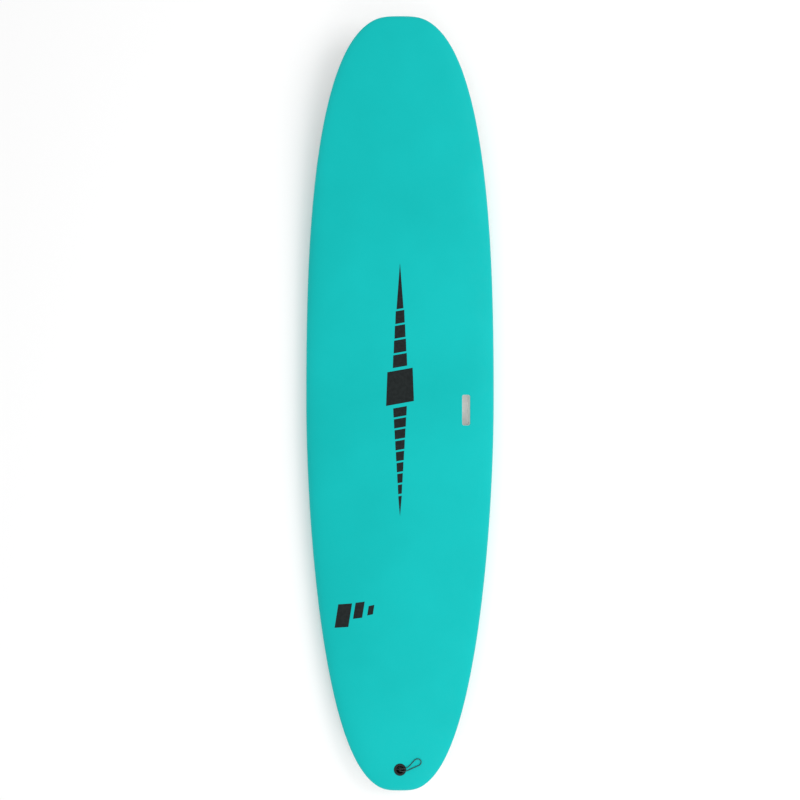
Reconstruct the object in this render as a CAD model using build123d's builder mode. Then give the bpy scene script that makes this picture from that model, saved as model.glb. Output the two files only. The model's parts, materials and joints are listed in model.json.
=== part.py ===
# Soft-top surfboard, 8 ft, built up in layers the way such boards are laminated.
# Foam core planks bonded to plywood stringers, a soft closed-cell foam deck skin that wraps
# the rails, a bonded backing foam and a hard plastic slick underneath, three single-tab fin
# boxes with grub screws, a through-bolted leash plug with its cord loop, and a finger grip.
# Millimetres. The board lies deck up: +Z up, +Y to the nose, +X to the right seen from above.
# The origin is on the ground below the middle of the board.
import os
from math import cos, pi, radians, sin, sqrt
from build123d import *

# ---- board shape ----
board_length = 2438.0        # 8 ft 0 in
board_width = 604.0          # 23 3/4 in
board_thickness = 86.0       # 3 3/8 in, deck crown to bottom at the middle
nose_thickness = 38.0        # deck crown to bottom towards the nose tip
tail_thickness = 36.0        # deck crown to bottom towards the tail end
nose_rocker = 115.0          # lift of the bottom at the nose tip
tail_rocker = 45.0           # lift of the bottom at the tail end
flat_half = 150.0            # half length of the flat stretch the board rests on
rocker_power = 2.4
foil_power = 2.6
wide_point = 0.015           # place of the widest section, share of the half length, + to the nose
nose_power = 2.62            # outline fullness ahead of the wide point
nose_root = 2.73
tail_power = 1.8             # outline fullness behind the wide point
tail_root = 2.65
rail_apex = 34.0             # height of the rail's outermost line above the bottom, at the middle
tip_apex = 14.0              # the same at the nose and tail
rail_tuck = 16.0             # how far the lower rail curves in under the board
tip_round_top = 20.0         # rounding of the nose and tail ends above the apex
tip_round_bottom = 9.0       # rounding of the nose and tail ends below the apex
belly = 3.0                  # depth by which the rough blank stands proud before the bottom is cut

# ---- layers ----
skin = 5.0                   # deck foam
slick = 1.2                  # hard plastic bottom sheet
backing = 3.0                # foam under the slick
glue = 0.2                   # bond line between layers
rim_side = 11.0              # slick edge to outline along the sides
rim_end = 5.0                # slick edge to outline at nose and tail
stringer_width = 5.0
stringer_offset = 130.0      # outer stringers from the centre line

# ---- fin boxes ----
fin_slot_length = 114.5
fin_slot_width = 7.0
side_slot_depth = 13.5
centre_slot_depth = 19.5
box_floor = 3.0
box_width = 20.0
box_rear_wall = 4.5
box_front_reach = 15.0       # box material ahead of the slot, it carries the screw
box_recess = 0.3             # box face below the slick face at its middle
box_fit = 0.3                # gap round a box in its pocket
side_fin_inset = 129.0       # side fins in from the widest outline
side_fin_y = -852.5          # middle of the side slots
side_toe = 2.0               # degrees, front ends closer to the centre line
centre_fin_y = -1017.0
screw_diameter = 4.2
screw_length = 8.0
screw_fit = 0.3
screw_ahead = 9.0            # screw hole mouth ahead of the slot
screw_tilt = 45.0            # degrees from the box face normal
screw_sunk = 2.5             # screw end below the mouth, along the hole
hex_across = 2.4
hex_depth = 2.6
block_length = 170.0
block_width = 60.0
side_block_height = 30.0     # top of the fin blocks above the bottom
centre_block_height = 34.0

# ---- leash plug ----
plug_x = 0.0
plug_y = -1145.0
flange_diameter = 38.5
flange_thick = 2.2
flange_proud = 1.2           # flange top above the deck
cup_bore = 24.0
cup_wall = 2.0
cup_depth = 14.0             # from the flange top
bar_diameter = 4.0
bar_fit = 0.1
bar_drop = 5.6               # bar axis below the flange top
stem_diameter = 16.0
stem_gap = 8.0               # stem end above the bottom
post_diameter = 8.0
post_fit = 0.3
post_reach = 24.0            # post end above the bottom
plate_diameter = 46.5
plate_thick = 2.4
plate_seat = 0.1             # gap between the plate and the slick
coin_slot = (13.0, 2.0, 1.1)
hole_fit = 0.3
tail_block_half = 35.0
tail_block_front = 38.0      # block ahead of the plug axis
tail_block_rear = 32.0       # block behind the plug axis

# ---- cord loop ----
cord_diameter = 2.5
knot_diameter = 13.0
knot_height = 5.2

# ---- finger grip ----
grip_inset = 92.0            # grip in from the widest outline
grip_y = -5.0
grip_opening = (26.0, 97.0)
grip_corner = 6.0
grip_wall = 2.0
grip_depth = 38.0            # from the deck surface to the grip floor
grip_flange = 6.0            # hidden flange beyond the opening
grip_flange_thick = 1.6
grip_fit = 0.3

half_length = board_length / 2
side_fin_x = board_width / 2 - side_fin_inset
grip_x = board_width / 2 - grip_inset
core_base = slick + backing + 2 * glue       # underside of the core above the bottom face
core_inset = skin + glue


def rocker(y):
    """Height of the bottom face above the ground."""
    reach = max(0.0, abs(y) - flat_half) / (half_length - flat_half)
    lift = nose_rocker if y > 0 else tail_rocker
    return lift * reach ** rocker_power


def rocker_slope(y):
    """Slope dz/dy of the bottom face."""
    return (rocker(y + 0.5) - rocker(y - 0.5)) / 1.0


def thickness(y):
    """Deck crown above the bottom face."""
    end = nose_thickness if y > 0 else tail_thickness
    return board_thickness - (board_thickness - end) * abs(y / half_length) ** foil_power


def apex(y):
    """Rail apex above the bottom face."""
    return rail_apex - (rail_apex - tip_apex) * abs(y / half_length) ** foil_power


def half_width(y, side_inset, end_inset):
    """Half width of the outline at y, drawn in by the insets."""
    u = y / (half_length - end_inset)
    if u >= wide_point:
        s = (u - wide_point) / (1 - wide_point)
        reach = 1 - s ** nose_power
        return (board_width / 2 - side_inset) * max(0.0, reach) ** (1 / nose_root)
    s = (wide_point - u) / (1 + wide_point)
    reach = 1 - s ** tail_power
    return (board_width / 2 - side_inset) * max(0.0, reach) ** (1 / tail_root)


def tip_share(distance, radius):
    """Share of the full height at a distance inside a rounded end."""
    if distance >= radius:
        return 1.0
    return sqrt(max(0.0, 1 - ((radius - distance) / radius) ** 2))


def deck_curve(y, inset):
    """Control points of the right half of the deck line, rail apex to crown."""
    w = half_width(y, inset, inset)
    a = rocker(y) + apex(y)
    from_tip = half_length - inset - abs(y)
    rise = (thickness(y) - apex(y) - inset) * tip_share(from_tip, tip_round_top - inset / 2)
    return [(w, a), (w, a + 0.62 * rise), (0.965 * w, a + 0.90 * rise),
            (0.56 * w, a + 1.0 * rise), (0.0, a + 1.0 * rise)]


def deck_height(x, y):
    """Height of the deck surface over a point."""
    points = deck_curve(y, 0.0)
    low, high = 0.0, 1.0
    for _ in range(50):
        t = (low + high) / 2
        weights = [(1 - t) ** 4, 4 * t * (1 - t) ** 3, 6 * t ** 2 * (1 - t) ** 2, 4 * t ** 3 * (1 - t), t ** 4]
        if sum(k * p[0] for k, p in zip(weights, points)) > abs(x):
            low = t
        else:
            high = t
    return sum(k * p[1] for k, p in zip(weights, points))


def blank_section(y, inset, dip):
    """Closed cross-section of a blank drawn in by the inset, with its underside at dip."""
    right = deck_curve(y, inset)
    left = [(-x, z) for x, z in reversed(right)]
    w, a = right[0]
    from_tip = half_length - inset - abs(y)
    drop = (apex(y) - dip) * tip_share(from_tip, max(4.0, tip_round_bottom - inset))
    tuck = min(rail_tuck, 0.6 * w)
    curve = 0.5523
    ring = [
        right,
        left,
        [(-w, a), (-w, a - curve * drop), (-w + (1 - curve) * tuck, a - drop), (-w + tuck, a - drop)],
        [(-w + tuck, a - drop), (w - tuck, a - drop)],
        [(w - tuck, a - drop), (w - (1 - curve) * tuck, a - drop), (w, a - curve * drop), (w, a)],
    ]
    edges = [Edge.make_bezier(*[(x, y, z) for x, z in points]) for points in ring]
    return Face(Wire(edges))


def stations(inset):
    """Places of the cross-sections, close together where the outline turns."""
    from_tip = [0.2, 0.6, 1.4, 3, 6, 11, 19, 32, 52, 82, 125, 185, 265, 365, 485, 625, 785, 960, 1130]
    reach = half_length - inset
    scale = reach / 1219.0
    tail = [-reach + d * scale for d in from_tip]
    return tail + [-y for y in reversed(tail)]


def blank(inset, dip):
    """Lofted blank, rail to rail and nose to tail."""
    with BuildPart() as rough:
        loft(sections=[blank_section(y, inset, dip) for y in stations(inset)], clean=False)
    return rough.part


def bottom_line(height):
    """Bottom profile from tail to nose at a height above the bottom face, as (y, z) points."""
    run = half_length + 12 - flat_half
    steps = 12
    ahead = [flat_half + run * i / steps for i in range(steps + 1)]
    tail = [(-y, rocker(-y) + height) for y in reversed(ahead)]
    nose = [(y, rocker(y) + height) for y in ahead]
    return tail, nose


def layer(low, high):
    """Slab that follows the bottom rocker between two heights above the bottom face."""
    reach = board_width / 2 + 30
    with BuildPart() as slab:
        with BuildSketch(Plane.YZ.offset(-reach)):
            with BuildLine():
                tail, nose = bottom_line(low)
                Spline(*tail, tangents=[(1, rocker_slope(tail[0][0])), (1, 0)])
                Line(tail[-1], nose[0])
                Spline(*nose, tangents=[(1, 0), (1, rocker_slope(nose[-1][0]))])
                tail_up, nose_up = bottom_line(high)
                Line(nose[-1], nose_up[-1])
                Spline(*nose_up, tangents=[(1, 0), (1, rocker_slope(nose[-1][0]))])
                Line(tail_up[-1], nose_up[0])
                Spline(*tail_up, tangents=[(1, rocker_slope(tail[0][0])), (1, 0)])
                Line(tail_up[0], tail[0])
            make_face()
        extrude(amount=2 * reach)
    return slab.part


def sheet_section(y, side_inset, end_inset, low, high):
    """Flat strip across the board between two heights above the bottom face."""
    w = half_width(y, side_inset, end_inset)
    z0 = rocker(y) + low
    z1 = rocker(y) + high
    corners = [(w, z1), (-w, z1), (-w, z0), (w, z0), (w, z1)]
    edges = [Edge.make_line((a[0], y, a[1]), (b[0], y, b[1])) for a, b in zip(corners, corners[1:])]
    return Face(Wire(edges))


def sheet(side_inset, end_inset, low, high):
    """Sheet that follows the bottom rocker inside the outline drawn in by the insets."""
    with BuildPart() as flat:
        places = stations(end_inset)
        loft(sections=[sheet_section(y, side_inset, end_inset, low, high) for y in places], clean=False)
    return flat.part


def level_face(face):
    """The same face on a true plane, where all its corners stand at one height."""
    heights = [corner.Z for corner in face.vertices()]
    return Face(face.outer_wire()) if max(heights) - min(heights) < 1e-6 else face


def rigid_sheet(side_inset, end_inset, low, high):
    """Sheet in short flat runs between close sections, with one flat run where the board rests."""
    ends = [y for y in stations(end_inset) if abs(y) > half_length - 60]
    reach = half_length - 60
    runs = 26
    step = (reach - flat_half) / runs
    ahead = [flat_half + step * i for i in range(runs + 1)]
    places = sorted(ends + ahead + [-y for y in ahead])
    with BuildPart() as flat:
        loft(sections=[sheet_section(y, side_inset, end_inset, low, high) for y in places], ruled=True, clean=False)
    return Solid(Shell([level_face(face) for face in flat.part.faces()]))


def bottom_plane(x, y, toe):
    """Plane on the bottom face: its x runs forward along a fin slot, its z points out."""
    slope = rocker_slope(y)
    side = 1 if x > 0 else -1
    turn = radians(toe) * side if x else 0.0
    forward = Vector(-sin(turn), cos(turn), cos(turn) * slope).normalized()
    outward = Vector(0, slope, -1).normalized()
    return Plane(origin=(x, y, rocker(y)), x_dir=forward, z_dir=outward)


print("blanks")
board_blank = blank(0.0, -belly)
cavity_blank = blank(skin, core_base - glue - belly)
core_blank = blank(core_inset, core_base - belly)
under_core = layer(-25.0, core_base)
under_board = layer(-25.0, 0.0)
backing_sheet = sheet(rim_side, rim_end, slick + glue, slick + glue + backing)
slick_sheet = rigid_sheet(rim_side, rim_end, 0.0, slick)
under_recess = sheet(rim_side - glue, rim_end - glue, -20.0, core_base - glue)

# ---- places of the fittings ----
fins = {
    "left": (-side_fin_x, side_fin_y, side_toe, side_slot_depth, side_block_height),
    "right": (side_fin_x, side_fin_y, side_toe, side_slot_depth, side_block_height),
    "center": (0.0, centre_fin_y, 0.0, centre_slot_depth, centre_block_height),
}
box_front = fin_slot_length / 2 + box_front_reach
box_rear = -fin_slot_length / 2 - box_rear_wall
box_length = box_front - box_rear
box_middle = (box_front + box_rear) / 2
deck_z = deck_height(plug_x, plug_y)
bottom_z = rocker(plug_y)
flange_top = deck_z + flange_proud
flange_bottom = flange_top - flange_thick
cup_floor = flange_top - cup_depth
cup_outer = cup_bore + 2 * cup_wall


def fin_box_shape(plane, depth, fit, top):
    """Outer shape of a fin box, grown by a fit, from a height over the bottom face inwards."""
    with BuildPart() as shape:
        with BuildSketch(plane.offset(top)):
            with Locations((box_middle, 0)):
                SlotOverall(box_length + 2 * fit, box_width + 2 * fit)
        extrude(amount=-(top + depth + box_floor + fit))
    return shape.part


fin_planes = {}
fin_pockets = {}
block_pockets = []
fin_blocks = {}
for name, (x, y, toe, depth, height) in fins.items():
    plane = bottom_plane(x, y, toe)
    fin_planes[name] = plane
    fin_pockets[name] = fin_box_shape(plane, depth, box_fit, 8.0)
    turn = toe * (1 if x > 0 else -1) if x else 0.0
    for grow, kept in ((0.0, "block"), (glue, "pocket")):
        with BuildPart() as prism:
            with BuildSketch(Plane(origin=(x, y, -30), x_dir=(cos(radians(turn)), sin(radians(turn)), 0))):
                with Locations((0, box_middle)):
                    RectangleRounded(block_width + 2 * grow, block_length + 2 * grow, 6)
            extrude(amount=200)
        if kept == "block":
            with BuildPart() as block:
                add(core_blank, clean=False)
                add(layer(core_base, height), mode=Mode.INTERSECT, clean=False)
                add(prism.part, mode=Mode.INTERSECT, clean=False)
                add(fin_pockets[name], mode=Mode.SUBTRACT, clean=False)
            fin_blocks[name] = block.part
        else:
            with BuildPart() as hollow:
                add(prism.part)
                add(layer(-20.0, height + glue), mode=Mode.INTERSECT)
            block_pockets.append(hollow.part)

# hole for the leash plug, deck to bottom
with BuildPart() as plug_hole:
    with BuildSketch(Plane.XY.offset(flange_bottom)):
        with Locations((plug_x, plug_y)):
            Circle(flange_diameter / 2 + hole_fit)
    extrude(amount=60)
    with BuildSketch(Plane.XY.offset(cup_floor - cup_wall - hole_fit)):
        with Locations((plug_x, plug_y)):
            Circle(cup_outer / 2 + hole_fit)
    extrude(amount=60)
    with BuildSketch(Plane.XY.offset(-30)):
        with Locations((plug_x, plug_y)):
            Circle(stem_diameter / 2 + hole_fit)
    extrude(amount=cup_floor + 30)
plate_plane = bottom_plane(plug_x, plug_y, 0.0)
with BuildPart() as post_hole:
    with BuildSketch(Plane.XY.offset(bottom_z - 30)):
        with Locations((plug_x, plug_y)):
            Circle(post_diameter / 2 + hole_fit)
    extrude(amount=60)

# block of dense foam round the plug, and its pocket in the core
block_middle = plug_y + (tail_block_front - tail_block_rear) / 2
block_span = tail_block_front + tail_block_rear
with BuildPart() as tail_block_prism:
    with BuildSketch(Plane.XY.offset(-30)):
        with Locations((plug_x, block_middle)):
            RectangleRounded(2 * tail_block_half, block_span, 6)
    extrude(amount=300)
with BuildPart() as tail_block_pocket:
    with BuildSketch(Plane.XY.offset(-30)):
        with Locations((plug_x, block_middle)):
            RectangleRounded(2 * (tail_block_half + glue), block_span + 2 * glue, 6 + glue)
    extrude(amount=300)

# ---- finger grip ----
grip_z = deck_height(grip_x, grip_y)
grip_slope = (deck_height(grip_x + 12, grip_y) - deck_height(grip_x - 12, grip_y)) / 24
grip_normal = Vector(-grip_slope, 0, 1).normalized()
grip_plane = Plane(origin=(grip_x, grip_y, grip_z), x_dir=Vector(1, 0, grip_slope).normalized(), z_dir=grip_normal)
print("grip", grip_z, "slope", grip_slope, "plug deck", deck_z, "plug bottom", bottom_z)
grip_seat = skin + 0.7       # top of the hidden flange below the deck surface
cup_size = (grip_opening[0] + 2 * grip_wall, grip_opening[1] + 2 * grip_wall)
flange_size = (grip_opening[0] + 2 * grip_flange, grip_opening[1] + 2 * grip_flange)
with BuildPart() as grip_cup:
    with BuildSketch(grip_plane.offset(-grip_seat)):
        RectangleRounded(*flange_size, grip_corner + grip_flange)
    extrude(amount=-grip_flange_thick)
    with BuildSketch(grip_plane.offset(-grip_seat)):
        RectangleRounded(*cup_size, grip_corner + grip_wall)
    extrude(amount=-(grip_depth + grip_wall - grip_seat))
    floor_edges = grip_cup.edges().group_by(Axis(grip_plane.origin, grip_plane.z_dir))[0]
    fillet(floor_edges, 4.0)
    with BuildSketch(grip_plane.offset(-grip_seat + 1)):
        RectangleRounded(*grip_opening, grip_corner)
    extrude(amount=-(grip_depth - grip_seat + 1), mode=Mode.SUBTRACT)
    inner_floor = grip_cup.faces().filter_by(grip_plane).sort_by(Axis(grip_plane.origin, grip_plane.z_dir))[1]
    fillet(inner_floor.edges(), 3.0)
with BuildPart() as grip_pocket:
    with BuildSketch(grip_plane.offset(-grip_seat - grip_flange_thick - grip_fit)):
        RectangleRounded(flange_size[0] + 2 * grip_fit, flange_size[1] + 2 * grip_fit,
                         grip_corner + grip_flange + grip_fit)
    extrude(amount=40)
    with BuildSketch(grip_plane):
        RectangleRounded(cup_size[0] + 2 * grip_fit, cup_size[1] + 2 * grip_fit,
                         grip_corner + grip_wall + grip_fit)
    extrude(amount=-(grip_depth + grip_wall + grip_fit))
with BuildPart() as grip_mouth:
    with BuildSketch(grip_plane.offset(20)):
        RectangleRounded(*grip_opening, grip_corner)
    extrude(amount=-60)

os.makedirs("parts", exist_ok=True)


def keep(piece, name):
    """Label a finished piece and write it."""
    piece.label = name
    export_step(piece, "parts/" + name + ".step")
    print(name, "solids", len(piece.solids()), "volume", round(piece.volume / 1000, 2), "cm3")


# ---- core planks and stringers ----
edge = stringer_width / 2
gap = edge + glue
outer = board_width / 2 + 30
lanes = {
    "core_outer_left": (-outer, -stringer_offset - gap),
    "stringer_left": (-stringer_offset - edge, -stringer_offset + edge),
    "core_inner_left": (-stringer_offset + gap, -gap),
    "stringer_center": (-edge, edge),
    "core_inner_right": (gap, stringer_offset - gap),
    "stringer_right": (stringer_offset - edge, stringer_offset + edge),
    "core_outer_right": (stringer_offset + gap, outer),
}
with BuildPart() as core_body:
    add(core_blank, clean=False)
    add(under_core, mode=Mode.SUBTRACT, clean=False)
    for pocket in block_pockets:
        add(pocket, mode=Mode.SUBTRACT, clean=False)
    add(tail_block_pocket.part, mode=Mode.SUBTRACT, clean=False)
    add(grip_pocket.part, mode=Mode.SUBTRACT, clean=False)
print("core body", round(core_body.part.volume / 1000, 1), "valid", core_body.part.is_valid)
for name, (x0, x1) in lanes.items():
    # the centre stringer stops at the block round the plug
    rear = plug_y if name == "stringer_center" else -half_length - 30
    with BuildPart() as lane:
        with BuildSketch(Plane.XY.offset(-30)):
            with Locations(((x0 + x1) / 2, (rear + half_length + 30) / 2)):
                Rectangle(x1 - x0, half_length + 30 - rear)
        extrude(amount=400)
        add(core_body.part, mode=Mode.INTERSECT, clean=False)
    keep(lane.part, name)

for name, block in fin_blocks.items():
    keep(block, "fin_block_" + name)

with BuildPart() as tail_block:
    add(core_blank, clean=False)
    add(under_core, mode=Mode.SUBTRACT, clean=False)
    add(tail_block_prism.part, mode=Mode.INTERSECT, clean=False)
    add(plug_hole.part, mode=Mode.SUBTRACT, clean=False)
keep(tail_block.part, "tail_block")

# ---- bottom sheets ----
for name, layer_sheet in (("bottom_backing", backing_sheet), ("bottom_slick", slick_sheet)):
    with BuildPart() as bottom:
        add(layer_sheet, clean=False)
        for pocket in fin_pockets.values():
            add(pocket, mode=Mode.SUBTRACT, clean=False)
        add(post_hole.part, mode=Mode.SUBTRACT, clean=False)
    keep(bottom.part, name)

# ---- deck skin: deck, rails and the rim round the slick in one sheet ----
with BuildPart() as deck_skin:
    add(board_blank, clean=False)
    add(under_board, mode=Mode.SUBTRACT, clean=False)
    add(under_recess, mode=Mode.SUBTRACT, clean=False)
    add(cavity_blank, mode=Mode.SUBTRACT, clean=False)
    add(plug_hole.part, mode=Mode.SUBTRACT, clean=False)
    add(grip_mouth.part, mode=Mode.SUBTRACT, clean=False)
keep(deck_skin.part, "deck_skin")

keep(grip_cup.part, "grip_cup")

# ---- fin boxes and their grub screws ----
for name, (x, y, toe, depth, height) in fins.items():
    plane = fin_planes[name]
    mouth = plane.from_local_coords(Vector(fin_slot_length / 2 + screw_ahead, 0, 0))
    inward = (plane.from_local_coords(Vector(-sin(radians(screw_tilt)), 0, -cos(radians(screw_tilt))))
              - plane.origin).normalized()
    hole_plane = Plane(origin=mouth, z_dir=inward)
    with BuildPart() as fin_box:
        with BuildSketch(plane.offset(-box_recess)):
            with Locations((box_middle, 0)):
                SlotOverall(box_length, box_width)
        extrude(amount=-(depth + box_floor - box_recess))
        with BuildSketch(plane.offset(2)):
            RectangleRounded(fin_slot_length, fin_slot_width, 3.0)
        extrude(amount=-(depth + 2), mode=Mode.SUBTRACT)
        with BuildSketch(hole_plane.offset(-5)):
            Circle(screw_diameter / 2 + screw_fit)
        extrude(amount=5 + screw_ahead / sin(radians(screw_tilt)) + 4.0, mode=Mode.SUBTRACT)
    keep(fin_box.part, "fin_box_" + name)
    with BuildPart() as fin_screw:
        with BuildSketch(hole_plane.offset(screw_sunk)):
            Circle(screw_diameter / 2)
        extrude(amount=screw_length)
        chamfer(fin_screw.edges(), 0.4)
        with BuildSketch(hole_plane.offset(screw_sunk)):
            RegularPolygon(hex_across / 2, 6, major_radius=False)
        extrude(amount=hex_depth, mode=Mode.SUBTRACT)
    keep(fin_screw.part, "fin_screw_" + name)
    print("screw axis", name, mouth, inward)

# ---- leash plug ----
with BuildPart() as leash_cup:
    with BuildSketch(Plane.XY.offset(flange_bottom)):
        with Locations((plug_x, plug_y)):
            Circle(flange_diameter / 2)
    extrude(amount=flange_thick)
    fillet(leash_cup.edges().filter_by(GeomType.CIRCLE).sort_by(Axis.Z)[-1], 1.0)
    with BuildSketch(Plane.XY.offset(cup_floor - cup_wall)):
        with Locations((plug_x, plug_y)):
            Circle(cup_outer / 2)
    extrude(amount=flange_bottom - cup_floor + cup_wall)
    with BuildSketch(Plane.XY.offset(bottom_z + stem_gap)):
        with Locations((plug_x, plug_y)):
            Circle(stem_diameter / 2)
    extrude(amount=cup_floor - cup_wall - bottom_z - stem_gap)
    with BuildSketch(Plane.XY.offset(cup_floor)):
        with Locations((plug_x, plug_y)):
            Circle(cup_bore / 2)
    extrude(amount=cup_depth + 1, mode=Mode.SUBTRACT)
    mouth_edge = leash_cup.edges().filter_by(GeomType.CIRCLE).group_by(Axis.Z)[-1].sort_by(SortBy.RADIUS)[0]
    fillet(mouth_edge, 0.8)
    with BuildSketch(Plane.XY.offset(bottom_z)):
        with Locations((plug_x, plug_y)):
            Circle(post_diameter / 2 + post_fit)
    extrude(amount=post_reach + 0.6, mode=Mode.SUBTRACT)
    with BuildSketch(Plane.YZ.offset(plug_x - cup_outer)):
        with Locations((plug_y, flange_top - bar_drop)):
            Circle(bar_diameter / 2 + bar_fit)
    extrude(amount=2 * cup_outer, mode=Mode.SUBTRACT)
keep(leash_cup.part, "leash_cup")

with BuildPart() as leash_bar:
    with BuildSketch(Plane.YZ.offset(plug_x - cup_outer / 2 + 0.4)):
        with Locations((plug_y, flange_top - bar_drop)):
            Circle(bar_diameter / 2)
    extrude(amount=cup_outer - 0.8)
    chamfer(leash_bar.edges(), 0.4)
keep(leash_bar.part, "leash_bar")

with BuildPart() as leash_plate:
    with BuildSketch(plate_plane.offset(plate_seat + plate_thick)):
        Circle(plate_diameter / 2)
    extrude(amount=-plate_thick)
    rim_edge = leash_plate.edges().sort_by(Axis(plate_plane.origin, plate_plane.z_dir))[-1]
    fillet(rim_edge, 1.1)
    with BuildSketch(plate_plane.offset(plate_seat + plate_thick)):
        Rectangle(coin_slot[0], coin_slot[1])
    extrude(amount=-coin_slot[2], mode=Mode.SUBTRACT)
    with BuildSketch(Plane.XY.offset(bottom_z - plate_seat - plate_thick / 2)):
        with Locations((plug_x, plug_y)):
            Circle(post_diameter / 2)
    extrude(amount=post_reach + plate_seat + plate_thick / 2)
keep(leash_plate.part, "leash_plate")

# ---- cord loop: knotted under the bar, both legs out over the flange to the right ----
knot_top = flange_top - bar_drop - bar_diameter / 2 - 0.3 - deck_z
with BuildPart() as leash_knot:
    with BuildSketch(Plane.XY.offset(deck_z + knot_top - knot_height)):
        with Locations((plug_x, plug_y)):
            Circle(knot_diameter / 2)
    extrude(amount=knot_height)
    fillet(leash_knot.edges().filter_by(GeomType.CIRCLE), 1.4)
keep(leash_knot.part, "leash_knot")

# route from the plug axis at deck level: across, along the board, up
cord_route = [
    (-1.5, 3.6, knot_top), (-1.5, 3.6, 2.4), (6.5, 4.4, 3.6), (14.0, 5.4, 3.7), (21.5, 7.2, 3.3),
    (29.5, 11.6, 1.8), (38.0, 21.5, 1.7), (47.0, 32.0, 1.7), (56.5, 36.0, 1.6), (65.5, 31.0, 1.4),
    (68.0, 22.0, 1.3), (62.0, 14.5, 1.4), (52.0, 10.6, 1.6), (41.0, 6.0, 1.7), (30.5, 0.8, 1.8),
    (21.5, -2.4, 3.3), (14.0, -3.4, 3.7), (6.5, -3.6, 3.6), (-1.5, -3.6, 2.4), (-1.5, -3.6, knot_top),
]
route = [Vector(plug_x + x, plug_y + y, deck_z + z) for x, y, z in cord_route]
radii = []
for before, here, after in zip(route, route[1:], route[2:]):
    turn = radians((here - before).get_angle(after - here))
    radii.append(0.45 * min((here - before).length, (after - here).length) / sin(turn / 2) * cos(turn / 2))
print("cord radii", [round(r, 1) for r in radii])
with BuildPart() as leash_loop:
    with BuildLine() as cord_path:
        FilletPolyline(*route, radius=radii)
    with BuildSketch(Plane(origin=route[0], z_dir=(route[1] - route[0]).normalized())):
        Circle(cord_diameter / 2)
    sweep(path=cord_path.wires()[0])
keep(leash_loop.part, "leash_loop")
cord_length = cord_path.wires()[0].length
print("cord length", round(cord_length, 1), "volume ratio",
      round(leash_loop.part.volume / (pi * cord_diameter ** 2 / 4 * cord_length), 4))
for x, y, z in cord_route:
    print("cord over deck", x, y, round(deck_z + z - deck_height(plug_x + x, plug_y + y), 2))
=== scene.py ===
"""Soft-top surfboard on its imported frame: foam deck, plastic slick, fin boxes, grip and leash plug."""
import json
import logging
import math
from dataclasses import dataclass, field
from enum import Enum

import bmesh
import bpy
import numpy as np
from mathutils import Matrix, Vector


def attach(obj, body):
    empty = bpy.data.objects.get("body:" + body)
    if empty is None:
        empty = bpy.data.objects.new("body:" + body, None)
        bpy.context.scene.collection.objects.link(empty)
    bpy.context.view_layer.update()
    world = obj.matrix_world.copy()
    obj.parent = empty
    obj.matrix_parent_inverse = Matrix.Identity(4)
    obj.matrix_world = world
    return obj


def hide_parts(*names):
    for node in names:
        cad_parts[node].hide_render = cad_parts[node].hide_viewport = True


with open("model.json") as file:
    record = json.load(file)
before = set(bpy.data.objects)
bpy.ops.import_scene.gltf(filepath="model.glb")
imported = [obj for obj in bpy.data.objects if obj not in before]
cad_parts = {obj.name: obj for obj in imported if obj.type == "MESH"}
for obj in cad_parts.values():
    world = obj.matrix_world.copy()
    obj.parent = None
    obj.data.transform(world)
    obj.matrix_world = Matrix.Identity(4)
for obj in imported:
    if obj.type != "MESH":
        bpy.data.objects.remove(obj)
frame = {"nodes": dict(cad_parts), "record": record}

logging.basicConfig(level=logging.INFO, format="%(name)s: %(message)s")
LOG = logging.getLogger("surfboard")
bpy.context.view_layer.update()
Point2 = tuple[float, float]
Point3 = tuple[float, float, float]
Bar = tuple[float, float, float, float]
HALVINGS = 40
NODE_SHARP_ANGLE = 32.0
SKIN_SHARP_ANGLE = 40.0
SKIN_MERGE = 1e-6
NOISE_SPAN = (0.3, 0.7)
TONE_SPAN = (0.35, 0.65)


class Face(Enum):
    """The two faces of the board that carry printed marks."""

    DECK = 1
    UNDERSIDE = -1


class FinPlace(Enum):
    """The three fin boxes by place."""

    LEFT = "left"
    RIGHT = "right"
    CENTER = "center"


def mount_place(name: str) -> Point3:
    """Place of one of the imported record's mounts, by its name."""
    return next(tuple(mount["pos_m"]) for mount in frame["record"]["mounts"] if mount["name"] == name)


# ---- shape


def bezier(points: list[Point2], t: float) -> Point2:
    """Point on a Bezier curve.

    Args:
        points: Control points.
        t: Place along the curve, 0 to 1.

    Returns:
        The point.
    """
    n = len(points) - 1
    weights = [math.comb(n, i) * t**i * (1 - t) ** (n - i) for i in range(n + 1)]
    return (sum(k * p[0] for k, p in zip(weights, points)), sum(k * p[1] for k, p in zip(weights, points)))


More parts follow.
